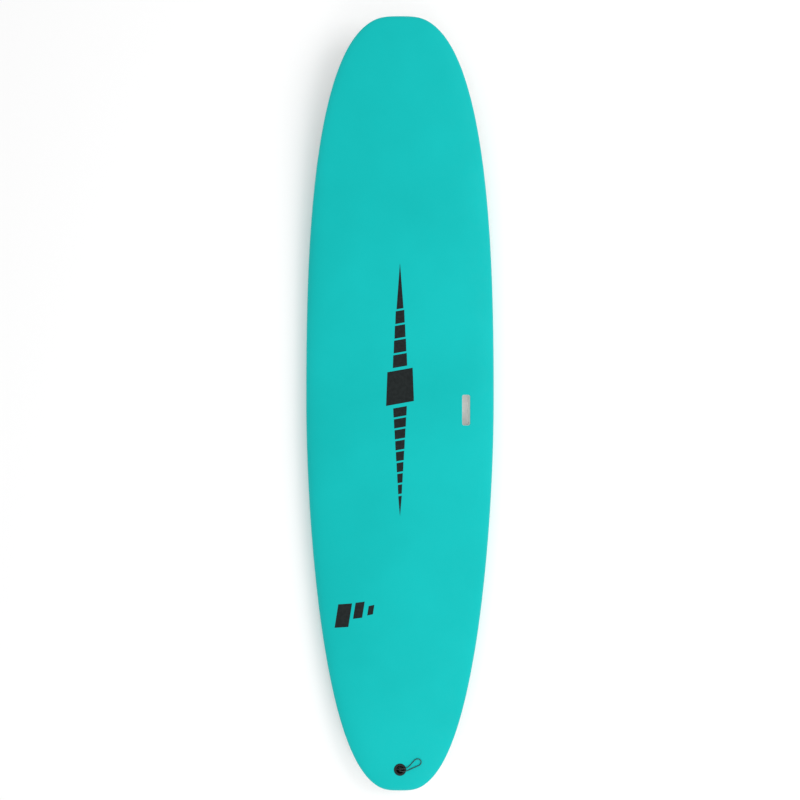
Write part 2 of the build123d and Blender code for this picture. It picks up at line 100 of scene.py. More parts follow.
@dataclass(frozen=True)
class BoardShape:
    """Lines of the board: outline, rocker, foil and rails, in metres."""

    length: float = 2.438
    width: float = 0.604
    middle_thickness: float = 0.086
    nose_thickness: float = 0.038
    tail_thickness: float = 0.036
    nose_rocker: float = 0.115
    tail_rocker: float = 0.045
    flat_half: float = 0.150
    rocker_power: float = 2.4
    foil_power: float = 2.6
    wide_point: float = 0.015
    nose_fullness: Point2 = (2.62, 2.73)
    tail_fullness: Point2 = (1.8, 2.65)
    rail_apex: float = 0.034
    tip_apex: float = 0.014
    rail_tuck: float = 0.016
    round_top: float = 0.020
    round_bottom: float = 0.009
    belly: float = 0.003
    slick_side: float = 0.011
    slick_end: float = 0.005
    slick_step: float = 0.00135
    deck_handles: tuple[Point2, ...] = ((1.0, 0.62), (0.965, 0.9), (0.56, 1.0))
    round_handle: float = 0.5523
    round_rest: float = 0.4477
    tuck_share: float = 0.6
    slope_step: float = 0.0005
    seat_gap: float = 0.0003
    tip_seat_share: float = 0.9
    tip_gap: float = 0.0002
    tip_crowding: float = 2.3
    seat_end_gap: float = 0.00002

    @property
    def half(self) -> float:
        """Half of the board's length."""
        return self.length / 2

    def half_width(self, y: float, side: float = 0.0, end: float = 0.0) -> float:
        """Half width of the outline.

        Args:
            y: Place along the board.
            side: Inset from the sides.
            end: Inset from nose and tail.

        Returns:
            Half width at y, 0 beyond the ends.
        """
        u = y / (self.half - end)
        if u >= self.wide_point:
            s, (power, root) = (u - self.wide_point) / (1 - self.wide_point), self.nose_fullness
        else:
            s, (power, root) = (self.wide_point - u) / (1 + self.wide_point), self.tail_fullness
        return (self.width / 2 - side) * max(0.0, 1 - min(s, 1.0) ** power) ** (1 / root)

    def rocker(self, y: float) -> float:
        """Height of the underside above the floor at y."""
        reach = max(0.0, abs(y) - self.flat_half) / (self.half - self.flat_half)
        return (self.nose_rocker if y > 0 else self.tail_rocker) * reach**self.rocker_power

    def slope(self, y: float) -> float:
        """Slope of the underside at y."""
        return (self.rocker(y + self.slope_step) - self.rocker(y - self.slope_step)) / (2 * self.slope_step)

    def thickness(self, y: float) -> float:
        """Thickness on the centre line at y."""
        end = self.nose_thickness if y > 0 else self.tail_thickness
        return self.middle_thickness - (self.middle_thickness - end) * abs(y / self.half) ** self.foil_power

    def apex(self, y: float) -> float:
        """Height of the rail's outermost line above the underside at y."""
        return self.rail_apex - (self.rail_apex - self.tip_apex) * abs(y / self.half) ** self.foil_power

    def tip_share(self, y: float, radius: float) -> float:
        """Share of the full height left near a rounded end.

        Args:
            y: Place along the board.
            radius: Rounding radius of the end.

        Returns:
            1 inside the board, falling to 0 at the tip.
        """
        inside = self.half - abs(y)
        if inside >= radius:
            return 1.0
        return math.sqrt(max(0.0, 1 - ((radius - inside) / radius) ** 2))

    def deck_points(self, y: float) -> list[Point2]:
        """Control points of the deck line from rail apex to crown.

        Args:
            y: Place along the board.

        Returns:
            Points as (x, z).
        """
        w, a = self.half_width(y), self.rocker(y) + self.apex(y)
        rise = (self.thickness(y) - self.apex(y)) * self.tip_share(y, self.round_top)
        handles = [(across * w, a + up * rise) for across, up in self.deck_handles]
        return [(w, a), *handles, (0.0, a + rise)]

    def rail_points(self, y: float) -> list[Point2]:
        """Control points of the lower rail from apex to underside.

        Args:
            y: Place along the board.

        Returns:
            Points as (x, z).
        """
        w, a = self.half_width(y), self.rocker(y) + self.apex(y)
        drop = (self.apex(y) + self.belly) * self.tip_share(y, self.round_bottom)
        tuck = min(self.rail_tuck, self.tuck_share * w)
        side, foot = (w, a - self.round_handle * drop), (w - self.round_rest * tuck, a - drop)
        return [(w, a), side, foot, (w - tuck, a - drop)]

    def deck_z(self, x: float, y: float) -> float:
        """Height of the deck surface.

        Args:
            x: Place across the board.
            y: Place along the board.

        Returns:
            Height above the floor.
        """
        points, low, high = self.deck_points(y), 0.0, 1.0
        for _ in range(HALVINGS):
            middle = (low + high) / 2
            if bezier(points, middle)[0] > abs(x):
                low = middle
            else:
                high = middle
        return bezier(points, (low + high) / 2)[1]

    def ring(self, y: float, strip: int, rail: int, deck: int) -> list[Point2]:
        """Right half of the cross-section, from the underside's middle round the rail to the crown.

        Args:
            y: Place along the board.
            strip: Points across the seat of the slick.
            rail: Points on the lower rail.
            deck: Points on the deck line.

        Returns:
            Points as (x, z).
        """
        base, line = self.rocker(y), self.rail_points(y)
        end = 1.0
        if line[-1][1] < base:
            low, high = 0.0, 1.0
            for _ in range(HALVINGS):
                end = (low + high) / 2
                if bezier(line, end)[1] > base:
                    low = end
                else:
                    high = end
        foot = bezier(line, end)
        seated = abs(y) < self.half - self.slick_end
        if seated:
            edge = min(self.half_width(y, self.slick_side, self.slick_end), foot[0] - self.seat_gap)
        else:
            edge = foot[0] * self.tip_seat_share
        lift = self.slick_step if seated else 0.0
        points = [(edge * i / strip, foot[1] + lift) for i in range(strip + 1)]
        points.append((edge, foot[1]))
        points += [bezier(line, end * (1 - i / rail)) for i in range(rail)]
        crown = self.deck_points(y)
        points += [bezier(crown, i / deck) for i in range(deck + 1)]
        return points

    def stations(self, count: int) -> list[float]:
        """Places of the cross-sections, closer together towards the ends.

        Args:
            count: Sections on each half of the board.

        Returns:
            Places along the board, tail to nose.
        """
        gap = self.tip_gap
        inside = [gap + (self.half - gap) * (i / count) ** self.tip_crowding for i in range(count + 1)]
        inside += [self.slick_end - self.seat_end_gap, self.slick_end + self.seat_end_gap]
        half = sorted(set(inside))
        return [-self.half + d for d in half] + [self.half - d for d in reversed(half[:-1])]


# ---- finishes


class NodeBench:
    """Small helper that lays out a material's nodes."""

    def __init__(self, name: str, roughness: float, metallic: float = 0.0) -> None:
        """Starts a material.

        Args:
            name: Material name.
            roughness: Shader roughness.
            metallic: Shader metallic value.
        """
        self.material = bpy.data.materials.new(name)
        self.material.use_nodes = True
        self.tree = self.material.node_tree
        self.shader = self.tree.nodes["Principled BSDF"]
        self.shader.inputs["Roughness"].default_value = roughness
        self.shader.inputs["Metallic"].default_value = metallic
        coordinates = self.tree.nodes.new("ShaderNodeTexCoord")
        self.place = coordinates.outputs["Object"]

    def add(self, kind: str, inputs: dict[str, object] | None = None, **settings: object) -> bpy.types.Node:
        """Adds a node.

        Args:
            kind: Node type.
            inputs: Values or sockets by input name.
            **settings: Node properties.

        Returns:
            The node.
        """
        node = self.tree.nodes.new(kind)
        for key, value in settings.items():
            setattr(node, key, value)
        for key, value in (inputs or {}).items():
            if isinstance(value, bpy.types.NodeSocket):
                self.tree.links.new(value, node.inputs[key])
            else:
                node.inputs[key].default_value = value
        return node

    def noise(
        self, scale: float, detail: float, stretch: Point3 = (1.0, 1.0, 1.0)
    ) -> bpy.types.NodeSocket:
        """Noise over the piece.

        Args:
            scale: Features per metre.
            detail: Octaves.
            stretch: Scale along each axis.

        Returns:
            The noise value.
        """
        mapping = self.add("ShaderNodeMapping", {"Vector": self.place, "Scale": stretch})
        texture = self.add(
            "ShaderNodeTexNoise", {"Vector": mapping.outputs[0], "Scale": scale, "Detail": detail}
        )
        return texture.outputs[0]

    def ramp(
        self, value: bpy.types.NodeSocket, low: Point3, high: Point3, span: Point2
    ) -> bpy.types.NodeSocket:
        """Colour between two tones by a value.

        Args:
            value: Driving value.
            low: Tone at the low end.
            high: Tone at the high end.
            span: Values of the two ends.

        Returns:
            The colour.
        """
        node = self.add("ShaderNodeValToRGB", {"Fac": value})
        node.color_ramp.elements[0].position, node.color_ramp.elements[1].position = span
        node.color_ramp.elements[0].color = (*low, 1.0)
        node.color_ramp.elements[1].color = (*high, 1.0)
        return node.outputs[0]

    def specular(self, level: float) -> None:
        """Sets the strength of the sheen."""
        self.shader.inputs["Specular IOR Level"].default_value = level

    def colour(self, socket: bpy.types.NodeSocket) -> None:
        """Feeds the shader's colour."""
        self.tree.links.new(socket, self.shader.inputs["Base Color"])

    def vary_roughness(self, value: bpy.types.NodeSocket, low: float, high: float) -> None:
        """Varies the roughness.

        Args:
            value: Driving value.
            low: Roughness at the low end of the value's usual span.
            high: Roughness at its high end.
        """
        start, stop = NOISE_SPAN
        node = self.add(
            "ShaderNodeMapRange",
            {"Value": value, "From Min": start, "From Max": stop, "To Min": low, "To Max": high},
        )
        self.tree.links.new(node.outputs[0], self.shader.inputs["Roughness"])

    def bump(
        self, height: bpy.types.NodeSocket, distance: float, strength: float,
        under: bpy.types.NodeSocket | None = None,
    ) -> bpy.types.NodeSocket:
        """Adds surface relief.

        Args:
            height: Height value.
            distance: Height of the relief in metres.
            strength: Blend of the relief.
            under: Normal of a coarser relief below this one.

        Returns:
            The normal.
        """
        inputs: dict[str, object] = {"Height": height, "Distance": distance, "Strength": strength}
        if under is not None:
            inputs["Normal"] = under
        node = self.add("ShaderNodeBump", inputs)
        self.tree.links.new(node.outputs[0], self.shader.inputs["Normal"])
        return node.outputs[0]


@dataclass(frozen=True)
class DeckFoamFinish:
    """Turquoise closed-cell deck foam with its fine pebbled skin.

    In every finish a pattern is (features per metre, octaves) and a relief is (height in metres, strength).
    """

    light: Point3 = (0.0030, 0.470, 0.455)
    deep: Point3 = (0.0020, 0.438, 0.422)
    roughness: Point2 = (0.54, 0.68)
    specular: float = 0.10
    clouds: Point2 = (3.2, 3.0)
    scuffs: Point2 = (60.0, 3.0)
    ripples: Point2 = (14.0, 2.0)
    ripple_relief: Point2 = (0.0006, 0.25)
    pebble: float = 950.0
    pebble_relief: Point2 = (0.00025, 0.35)

    def build(self) -> bpy.types.Material:
        """Builds the material.

        Returns:
            The material.
        """
        bench = NodeBench("deck_foam", self.roughness[0])
        bench.specular(self.specular)
        bench.colour(bench.ramp(bench.noise(*self.clouds), self.deep, self.light, TONE_SPAN))
        bench.vary_roughness(bench.noise(*self.scuffs), *self.roughness)
        ripple = bench.bump(bench.noise(*self.ripples), *self.ripple_relief)
        cells = bench.add("ShaderNodeTexVoronoi", {"Vector": bench.place, "Scale": self.pebble})
        bench.bump(cells.outputs["Distance"], *self.pebble_relief, ripple)
        return bench.material


@dataclass(frozen=True)
class SlickFinish:
    """Off-white polyethylene slick with faint drawing lines and handling marks."""

    light: Point3 = (0.700, 0.695, 0.668)
    deep: Point3 = (0.655, 0.648, 0.615)
    base_roughness: float = 0.32
    roughness: Point2 = (0.26, 0.40)
    clouds: Point2 = (2.4, 2.0)
    cloud_span: Point2 = (0.35, 0.68)
    marks: Point2 = (40.0, 4.0)
    mark_stretch: Point3 = (1.0, 0.06, 1.0)
    ripples: Point2 = (9.0, 1.0)
    ripple_relief: Point2 = (0.0006, 0.2)
    lines: Point2 = (420.0, 2.0)
    line_stretch: Point3 = (1.0, 0.02, 1.0)
    line_relief: Point2 = (0.00008, 0.3)

    def build(self) -> bpy.types.Material:
        """Builds the material.

        Returns:
            The material.
        """
        bench = NodeBench("slick", self.base_roughness)
        bench.colour(bench.ramp(bench.noise(*self.clouds), self.deep, self.light, self.cloud_span))
        bench.vary_roughness(bench.noise(*self.marks, self.mark_stretch), *self.roughness)
        ripple = bench.bump(bench.noise(*self.ripples), *self.ripple_relief)
        bench.bump(bench.noise(*self.lines, self.line_stretch), *self.line_relief, ripple)
        return bench.material


@dataclass(frozen=True)
class PrintInkFinish:
    """Black screen-print ink, slightly broken by the surface under it."""

    light: Point3 = (0.0125, 0.0165, 0.0165)
    deep: Point3 = (0.0075, 0.0105, 0.0105)
    base_roughness: float = 0.5
    roughness: Point2 = (0.42, 0.58)
    specular: float = 0.12
    speckle: Point2 = (120.0, 3.0)
    sheen: Point2 = (500.0, 2.0)
    grain: Point2 = (950.0, 2.0)
    relief: Point2 = (0.0001, 0.25)

    def build(self) -> bpy.types.Material:
        """Builds the material.

        Returns:
            The material.
        """
        bench = NodeBench("print_ink", self.base_roughness)
        bench.specular(self.specular)
        bench.colour(bench.ramp(bench.noise(*self.speckle), self.deep, self.light, TONE_SPAN))
        bench.vary_roughness(bench.noise(*self.sheen), *self.roughness)
        bench.bump(bench.noise(*self.grain), *self.relief)
        return bench.material


@dataclass(frozen=True)
class MouldedFinish:
    """Injection-moulded plastic with a spark-eroded grain."""

    name: str
    light: Point3
    deep: Point3
    roughness: Point2 = (0.38, 0.5)
    specular: float = 0.4
    clouds: Point2 = (70.0, 3.0)
    sheen: Point2 = (240.0, 2.0)
    grain: Point2 = (1600.0, 2.0)
    relief: Point2 = (0.00008, 0.4)

    def build(self) -> bpy.types.Material:
        """Builds the material.

        Returns:
            The material.
        """
        bench = NodeBench(self.name, self.roughness[0])
        bench.specular(self.specular)
        bench.colour(bench.ramp(bench.noise(*self.clouds), self.deep, self.light, TONE_SPAN))
        bench.vary_roughness(bench.noise(*self.sheen), *self.roughness)
        bench.bump(bench.noise(*self.grain), *self.relief)
        return bench.material


@dataclass(frozen=True)
class SteelFinish:
    """Turned steel, bright or blackened."""

    name: str = "stainless"
    light: Point3 = (0.62, 0.62, 0.61)
    deep: Point3 = (0.46, 0.46, 0.46)
    base_roughness: float = 0.28
    roughness: Point2 = (0.22, 0.36)
    streaks: Point2 = (900.0, 3.0)
    sheen: Point2 = (600.0, 2.0)
    grain: Point2 = (2600.0, 2.0)
    relief: Point2 = (0.00003, 0.3)

    def build(self) -> bpy.types.Material:
        """Builds the material.

        Returns:
            The material.
        """
        bench = NodeBench(self.name, self.base_roughness, 1.0)
        bench.colour(bench.ramp(bench.noise(*self.streaks), self.deep, self.light, NOISE_SPAN))
        bench.vary_roughness(bench.noise(*self.sheen), *self.roughness)
        bench.bump(bench.noise(*self.grain), *self.relief)
        return bench.material


@dataclass(frozen=True)
class BeadFoamFinish:
    """Expanded bead foam of the core, its beads pressed together."""

    light: Point3 = (0.86, 0.86, 0.83)
    deep: Point3 = (0.70, 0.70, 0.67)
    roughness: float = 0.75
    beads: float = 260.0
    bead_span: Point2 = (0.35, 0.9)
    relief: Point2 = (-0.0008, 0.6)

    def build(self) -> bpy.types.Material:
        """Builds the material.

        Returns:
            The material.
        """
        bench = NodeBench("bead_foam", self.roughness)
        cells = bench.add("ShaderNodeTexVoronoi", {"Vector": bench.place, "Scale": self.beads})
        bench.colour(bench.ramp(cells.outputs["Distance"], self.light, self.deep, self.bead_span))
        bench.bump(cells.outputs["Distance"], *self.relief)
        return bench.material


@dataclass(frozen=True)
class FineFoamFinish:
    """Fine-celled foam: backing sheet and insert blocks."""

    name: str
    light: Point3
    deep: Point3
    roughness: float = 0.8
    mottle: Point2 = (300.0, 4.0)
    cells: Point2 = (1300.0, 2.0)
    relief: Point2 = (0.0003, 0.5)

    def build(self) -> bpy.types.Material:
        """Builds the material.

        Returns:
            The material.
        """
        bench = NodeBench(self.name, self.roughness)
        bench.colour(bench.ramp(bench.noise(*self.mottle), self.deep, self.light, TONE_SPAN))
        bench.bump(bench.noise(*self.cells), *self.relief)
        return bench.material


@dataclass(frozen=True)
class PlywoodFinish:
    """Stringer plywood with long grain."""

    light: Point3 = (0.58, 0.40, 0.22)
    deep: Point3 = (0.40, 0.25, 0.12)
    roughness: float = 0.6
    grain: Point2 = (160.0, 5.0)
    grain_stretch: Point3 = (1.0, 0.03, 1.0)
    relief: Point2 = (0.0003, 0.4)

    def build(self) -> bpy.types.Material:
        """Builds the material.

        Returns:
            The material.
        """
        bench = NodeBench("plywood", self.roughness)
        grain = bench.noise(*self.grain, self.grain_stretch)
        bench.colour(bench.ramp(grain, self.deep, self.light, NOISE_SPAN))
        bench.bump(grain, *self.relief)
        return bench.material


@dataclass(frozen=True)
class BraidFinish:
    """Braided polyester string: two crossing diagonal strands."""

    light: Point3 = (0.014, 0.036, 0.036)
    deep: Point3 = (0.005, 0.017, 0.017)
    roughness: float = 0.7
    sheen: float = 0.15
    strands: float = 900.0 / 6.28
    waver: float = 0.4
    strand_span: Point2 = (0.05, 0.6)
    relief: Point2 = (0.0003, 0.7)

    def strand(self, bench: NodeBench, place: bpy.types.NodeSocket) -> bpy.types.NodeSocket:
        """One set of diagonal strands.

        Args:
            bench: The material's bench.
            place: Where on the piece each point lies.

        Returns:
            The strands' height.
        """
        inputs = {"Vector": place, "Scale": self.strands, "Distortion": self.waver}
        return bench.add("ShaderNodeTexWave", inputs, bands_direction="DIAGONAL").outputs[1]

    def build(self) -> bpy.types.Material:
        """Builds the material.

        Returns:
            The material.
        """
        bench = NodeBench("braid", self.roughness)
        bench.shader.inputs["Sheen Weight"].default_value = self.sheen
        first = self.strand(bench, bench.place)
        quarter_turn = (0.0, 0.0, math.pi / 2)
        turned = bench.add("ShaderNodeMapping", {"Vector": bench.place, "Rotation": quarter_turn})
        second = self.strand(bench, turned.outputs[0])
        both = bench.add("ShaderNodeMath", {0: first, 1: second}, operation="MULTIPLY").outputs[0]
        bench.colour(bench.ramp(both, self.deep, self.light, self.strand_span))
        bench.bump(both, *self.relief)
        return bench.material


@dataclass(frozen=True)
class FloorFinish:
    """Plain pale studio floor."""

    tone: Point3 = (0.93, 0.93, 0.93)
    roughness: float = 0.9
    specular: float = 0.05

    def build(self) -> bpy.types.Material:
        """Builds the material.

        Returns:
            The material.
        """
        bench = NodeBench("studio_floor", self.roughness)
        bench.shader.inputs["Base Color"].default_value = (*self.tone, 1.0)
        bench.specular(self.specular)
        return bench.material


# ---- mesh work


def mesh_object(
    name: str, points: list[Point3] | list[Vector], faces: list[tuple[int, ...]],
    material: bpy.types.Material,
) -> bpy.types.Object:
    """New mesh object in the scene.

    Args:
        name: Object name.
        points: Vertices in metres.
        faces: Vertex indices of each face.
        material: Its finish.

    Returns:
        The object.
    """
    mesh = bpy.data.meshes.new(name)
    mesh.from_pydata([tuple(map(float, p)) for p in points], [], faces)
    mesh.validate()
    mesh.update()
    thing = bpy.data.objects.new(name, mesh)
    bpy.context.collection.objects.link(thing)
    mesh.materials.append(material)
    return thing


def shade(thing: bpy.types.Object, angle: float) -> None:
    """Smooth shading with edges kept sharp over an angle.

    Args:
        thing: The object.
        angle: Angle in degrees.
    """
    mesh = thing.data
    mesh.polygons.foreach_set("use_smooth", [True] * len(mesh.polygons))
    mesh.set_sharp_from_angle(angle=math.radians(angle))
    mesh.update()


def rounded_outline(length: float, width: float, radius: float, steps: int) -> list[Point2]:
    """Outline of a rounded rectangle, counter-clockwise.

    Args:
        length: Size along x.
        width: Size along y.
        radius: Corner radius.
        steps: Segments in each corner.

    Returns:
        Points of the outline.
    """
    corners = [(1, 1, 0), (-1, 1, 90), (-1, -1, 180), (1, -1, 270)]
    points = []
    for sx, sy, start in corners:
        cx, cy = sx * (length / 2 - radius), sy * (width / 2 - radius)
        for i in range(steps + 1):
            angle = math.radians(start + 90 * i / steps)
            points.append((cx + radius * math.cos(angle), cy + radius * math.sin(angle)))
    return points


def circle(radius: float, steps: int) -> list[Point2]:
    """Outline of a circle.

    Args:
        radius: Its radius.
        steps: Points on it.

    Returns:
        Points of the outline, counter-clockwise.
    """
    angles = np.linspace(0, 2 * math.pi, steps, endpoint=False)
    return [(math.cos(angle) * radius, math.sin(angle) * radius) for angle in angles]


def prism(
    name: str, outline: list[Point2], low: float, high: float, plane: Matrix, material: bpy.types.Material
) -> bpy.types.Object:
    """Closed prism on a plane.

    Args:
        name: Object name.
        outline: Counter-clockwise outline on the plane.
        low: Lower height over the plane.
        high: Upper height over the plane.
        plane: The plane.
        material: Its finish.

    Returns:
        The prism.
    """
    n = len(outline)
    points = [plane @ Vector((x, y, low)) for x, y in outline]
    points += [plane @ Vector((x, y, high)) for x, y in outline]
    faces: list[tuple[int, ...]] = [tuple(reversed(range(n))), tuple(range(n, 2 * n))]
    faces += [(i, (i + 1) % n, n + (i + 1) % n, n + i) for i in range(n)]
    return mesh_object(name, points, faces, material)


def plane_matrix(origin: Vector, along: Vector, outward: Vector) -> Matrix:
    """Plane as a matrix.

    Args:
        origin: Its origin.
        along: Its x direction.
        outward: Its normal.

    Returns:
        The matrix.
    """
    z = outward.normalized()
    x = (along - along.dot(z) * z).normalized()
    y = z.cross(x)
    rows = [(x[i], y[i], z[i], origin[i]) for i in range(3)]
    return Matrix((*rows, (0, 0, 0, 1)))


def cut(thing: bpy.types.Object, cutter: bpy.types.Object) -> None:
    """Cuts one solid out of another and removes the cutter.

    Args:
        thing: The solid that is cut.
        cutter: The cutting solid.
    """
    modifier = thing.modifiers.new("cut", "BOOLEAN")
    modifier.operation = "DIFFERENCE"
    modifier.solver = "EXACT"
    modifier.object = cutter
    bpy.context.view_layer.update()
    evaluated = thing.evaluated_get(bpy.context.evaluated_depsgraph_get())
    fresh = bpy.data.meshes.new_from_object(evaluated)
    thing.modifiers.clear()
    old = thing.data
    thing.data = fresh
    bpy.data.meshes.remove(old)
    bpy.data.objects.remove(cutter)


# ---- sub-assemblies


@dataclass
class FinBoxes:
    """The three fin boxes and their grub screws."""

    shape: BoardShape
    slot_length: float = 0.1145
    rear_wall: float = 0.0045
    front_reach: float = 0.015
    width: float = 0.020
    fit: float = 0.0003
    floor: float = 0.003
    over: float = 0.008
    straight: float = 1e-5
    arc_steps: int = 14
    toe_and_depth: dict[FinPlace, Point2] = field(
        default_factory=lambda: {
            FinPlace.LEFT: (2.0, 0.0135), FinPlace.RIGHT: (2.0, 0.0135), FinPlace.CENTER: (0.0, 0.0195),
        }
    )

    def plane(self, place: FinPlace) -> Matrix:
        """Plane of a box on the underside, x forward and z outward.

        Args:
            place: Which box.

        Returns:
            The plane.
        """
        x, y, _ = mount_place(f"fin_slot_{place.value}")
        toe = self.toe_and_depth[place][0]
        slope = self.shape.slope(y)
        turn = math.radians(toe) * (1 if x > 0 else -1) if x else 0.0
        forward = Vector((-math.sin(turn), math.cos(turn), math.cos(turn) * slope))
        return plane_matrix(Vector((x, y, self.shape.rocker(y))), forward, Vector((0, slope, -1)))

    def pockets(self, material: bpy.types.Material) -> list[bpy.types.Object]:
        """Cutters for the box pockets.

        Args:
            material: Finish of the pocket walls.

        Returns:
            One closed prism for each box.
        """
        front, rear = self.slot_length / 2 + self.front_reach, -self.slot_length / 2 - self.rear_wall
        long, wide = front - rear + 2 * self.fit, self.width + 2 * self.fit
        slot = rounded_outline(long, wide, wide / 2 - self.straight, self.arc_steps)
        outline = [(x + (front + rear) / 2, y) for x, y in slot]
        made = []
        for place, (_, depth) in self.toe_and_depth.items():
            name, low = f"pocket_{place.value}", -(depth + self.floor + self.fit)
            made.append(prism(name, outline, low, self.over, self.plane(place), material))
        return made

    def dress(self, box: bpy.types.Material, steel: bpy.types.Material) -> None:
        """Gives the boxes and screws their finish.

        Args:
            box: Finish of the boxes.
            steel: Finish of the screws.
        """
        for place in self.toe_and_depth:
            paint_node(f"fin_box_{place.value}", box)
            paint_node(f"fin_screw_{place.value}", steel)
            LOG.info("fin box %s dressed", place.value)


@dataclass
class FingerGrip:
    """The carrying recess in the deck and its moulded cup."""

    shape: BoardShape
    x: float = mount_place("hand_grip")[0]
    y: float = mount_place("hand_grip")[1]
    opening: Point2 = (0.026, 0.097)
    corner: float = 0.006
    wall: float = 0.002
    depth: float = 0.038
    seat: float = 0.0057
    fit: float = 0.0003
    room_fit: float = 0.001
    over: float = 0.02
    arc_steps: int = 12
    slope_step: float = 0.012

    def plane(self) -> Matrix:
        """Plane of the recess on the deck.

        Returns:
            The plane, its z outward.
        """
        step, deck_z = self.slope_step, self.shape.deck_z
        z = deck_z(self.x, self.y)
        slope = (deck_z(self.x + step, self.y) - deck_z(self.x - step, self.y)) / (2 * step)
        return plane_matrix(Vector((self.x, self.y, z)), Vector((1, 0, slope)), Vector((-slope, 0, 1)))

    def pockets(self, material: bpy.types.Material) -> list[bpy.types.Object]:
        """Cutters for the mouth in the foam and the space the cup fills.

        Args:
            material: Finish of the walls.

        Returns:
            Two closed prisms.
        """
        mouth = rounded_outline(*self.opening, self.corner, self.arc_steps)
        wide, long = (size + 2 * self.wall + self.room_fit for size in self.opening)
        room = rounded_outline(wide, long, self.corner + self.wall, self.arc_steps)
        foot = -self.depth - self.wall - self.room_fit
        return [
            prism("grip_mouth", mouth, -self.seat - self.fit, self.over, self.plane(), material),
            prism("grip_room", room, foot, -self.seat, self.plane(), material),
        ]

    def dress(self, material: bpy.types.Material) -> None:
        """Gives the cup its finish."""
        paint_node("grip_cup", material)
        LOG.info("finger grip dressed")


@dataclass
class LeashPlug:
    """The through-bolted leash plug and the string tied to its bar."""

    shape: BoardShape
    x: float = mount_place("leash_bar")[0]
    y: float = mount_place("leash_bar")[1]
    flange: float = 0.0385
    flange_thick: float = 0.0022
    flange_proud: float = 0.0012
    cup: float = 0.028
    cup_drop: float = 0.0148
    bar_drop: float = 0.0056
    bar: float = 0.004
    seat_fit: float = 0.0003
    seat_gap: float = 0.0001
    seat_over: float = 0.01
    hole_fit: float = 0.0004
    hole_top: float = -0.0005
    cord: float = 0.0025
    cord_gap: float = 0.0003
    cord_length: float = 0.1796

    @property
    def deck(self) -> float:
        """Height of the deck at the plug."""
        return self.shape.deck_z(self.x, self.y)

    def pockets(self, material: bpy.types.Material) -> list[bpy.types.Object]:
        """Cutters for the flange's seat and the cup's hole.

        Args:
            material: Finish of the walls.

        Returns:
            Two closed prisms.
        """
        up = Matrix.Translation((self.x, self.y, self.deck))
        seat = circle(self.flange / 2 + self.seat_fit, 96)
        hole = circle(self.cup / 2 + self.hole_fit, 72)
        seat_foot = self.flange_proud - self.flange_thick - self.seat_gap
        return [
            prism("plug_seat", seat, seat_foot, self.seat_over, up, material),
            prism("plug_hole", hole, -self.cup_drop - self.hole_fit, self.hole_top, up, material),
        ]

    def route(self) -> list[Point3]:
        """Control points of the string, from the knot over the flange, round the loop and back.

        Returns:
            Points in metres.
        """
        top = self.flange_proud - self.bar_drop - self.bar / 2 - self.cord_gap
        points = [
            (-0.0015, 0.0036, top), (-0.0015, 0.0036, 0.0024),
            (0.0065, 0.0044, 0.0036), (0.0140, 0.0054, 0.0037),
            (0.0215, 0.0072, 0.0033), (0.0295, 0.0116, 0.0018),
            (0.0380, 0.0215, 0.0017), (0.0470, 0.0320, 0.0017),
            (0.0565, 0.0360, 0.0016), (0.0655, 0.0310, 0.0014),
            (0.0680, 0.0220, 0.0013), (0.0620, 0.0145, 0.0014),
            (0.0520, 0.0106, 0.0016), (0.0410, 0.0060, 0.0017),
            (0.0305, 0.0008, 0.0018), (0.0215, -0.0024, 0.0033),
            (0.0140, -0.0034, 0.0037), (0.0065, -0.0036, 0.0036),
            (-0.0015, -0.0036, 0.0024), (-0.0015, -0.0036, top),
        ]
        return [(self.x + x, self.y + y, self.deck + z) for x, y, z in points]

    def build_string(self, material: bpy.types.Material) -> bpy.types.Object:
        """The string on its smooth route.

        Args:
            material: Braid finish.

        Returns:
            The string as a curve.
        """
        curve = bpy.data.curves.new("leash_string", "CURVE")
        curve.dimensions = "3D"
        spline = curve.splines.new("NURBS")
        points = self.route()
        spline.points.add(len(points) - 1)
        for point, (x, y, z) in zip(spline.points, points):
            point.co = (x, y, z, 1.0)
        spline.order_u = 3
        spline.use_endpoint_u = True
        spline.resolution_u = 10
        curve.bevel_depth = self.cord / 2
        curve.bevel_resolution = 4
        curve.use_fill_caps = True
        curve.materials.append(material)
        string = bpy.data.objects.new("leash_string", curve)
        bpy.context.collection.objects.link(string)
        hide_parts("leash_loop")
        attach(string, "board")
        LOG.info("leash string laid, %d points", len(points))
        return string

    def dress(
        self, moulded: bpy.types.Material, steel: bpy.types.Material, braid: bpy.types.Material
    ) -> None:
        """Gives the plug's pieces their finish.

        Args:
            moulded: Finish of cup and plate.
            steel: Finish of the bar.
            braid: Finish of the string and knot.
        """
        paint_node("leash_cup", moulded)
        paint_node("leash_plate", moulded)
        paint_node("leash_bar", steel)
        paint_node("leash_knot", braid)
        self.build_string(braid)
        LOG.info("leash plug dressed")


